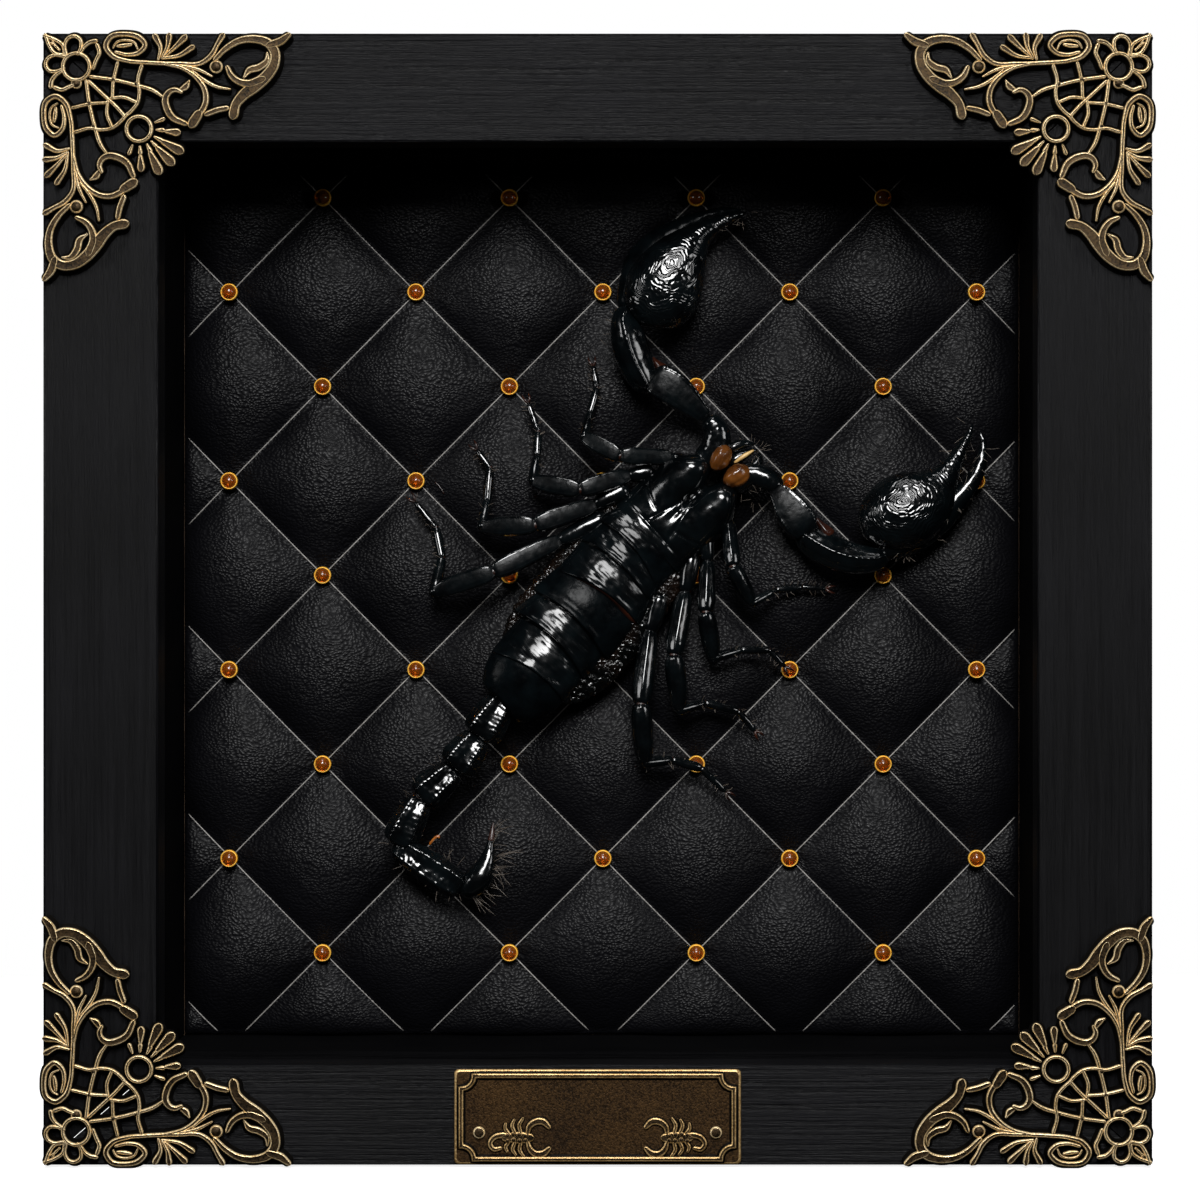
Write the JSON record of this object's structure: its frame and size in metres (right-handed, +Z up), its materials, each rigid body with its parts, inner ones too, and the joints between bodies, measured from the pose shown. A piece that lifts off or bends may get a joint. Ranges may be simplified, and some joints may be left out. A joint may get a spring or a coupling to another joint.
{
  "type": "framed scorpion specimen",
  "caption": "Dried scorpion mounted on a tufted leather pad with amber studs, in a deep black wooden box frame with cast brass corners and a small brass plate",
  "frame": {"origin": "on the surface it stands on, under the middle of the box", "axes": "+X to the right seen from the front, +Y from the open front to the back, +Z up"},
  "size_m": [0.2, 0.0468, 0.204],
  "materials": {
    "frame_wood": "black satin paint over fine open grain",
    "liner_wood": "black satin paint",
    "board_wood": "bare hardboard",
    "pad_leather": "black pebbled leather, tufted",
    "antique_brass": "antiqued, dark in the recesses and rubbed bright on the edges",
    "amber": "polished amber resin on a gold foil back",
    "dried_shell": "glossy black dried shell, brown at the joints"
  },
  "bodies": {
    "root": {"rail_bottom": "frame_wood", "rail_right": "frame_wood", "rail_top": "frame_wood", "rail_left": "frame_wood", "liner_bottom": "liner_wood", "liner_right": "liner_wood", "liner_top": "liner_wood", "liner_left": "liner_wood", "backing_board": "board_wood", "quilted_pad": "pad_leather", "corner_top_left": "antique_brass", "corner_top_right": "antique_brass", "corner_bottom_left": "antique_brass", "corner_bottom_right": "antique_brass", "name_plate": "antique_brass", "plate_rivet_left": "antique_brass", "plate_rivet_right": "antique_brass", "scorpion": "dried_shell", "stud_1_2": "amber", "stud_1_4": "amber", "stud_1_6": "amber", "stud_1_8": "amber", "stud_2_1": "amber", "stud_2_3": "amber", "stud_2_5": "amber", "stud_2_7": "amber", "stud_2_9": "amber", "stud_3_2": "amber", "stud_3_4": "amber", "stud_3_6": "amber", "stud_3_8": "amber", "stud_4_1": "amber", "stud_4_3": "amber", "stud_4_5": "amber", "stud_4_7": "amber", "stud_4_9": "amber", "stud_5_2": "amber", "stud_5_4": "amber", "stud_5_6": "amber", "stud_5_8": "amber", "stud_6_1": "amber", "stud_6_3": "amber", "stud_6_5": "amber", "stud_6_7": "amber", "stud_6_9": "amber", "stud_7_2": "amber", "stud_7_4": "amber", "stud_7_6": "amber", "stud_7_8": "amber", "stud_8_1": "amber", "stud_8_3": "amber", "stud_8_5": "amber", "stud_8_7": "amber", "stud_8_9": "amber", "stud_9_2": "amber", "stud_9_4": "amber", "stud_9_6": "amber", "stud_9_8": "amber"}
  },
  "joints": []
}
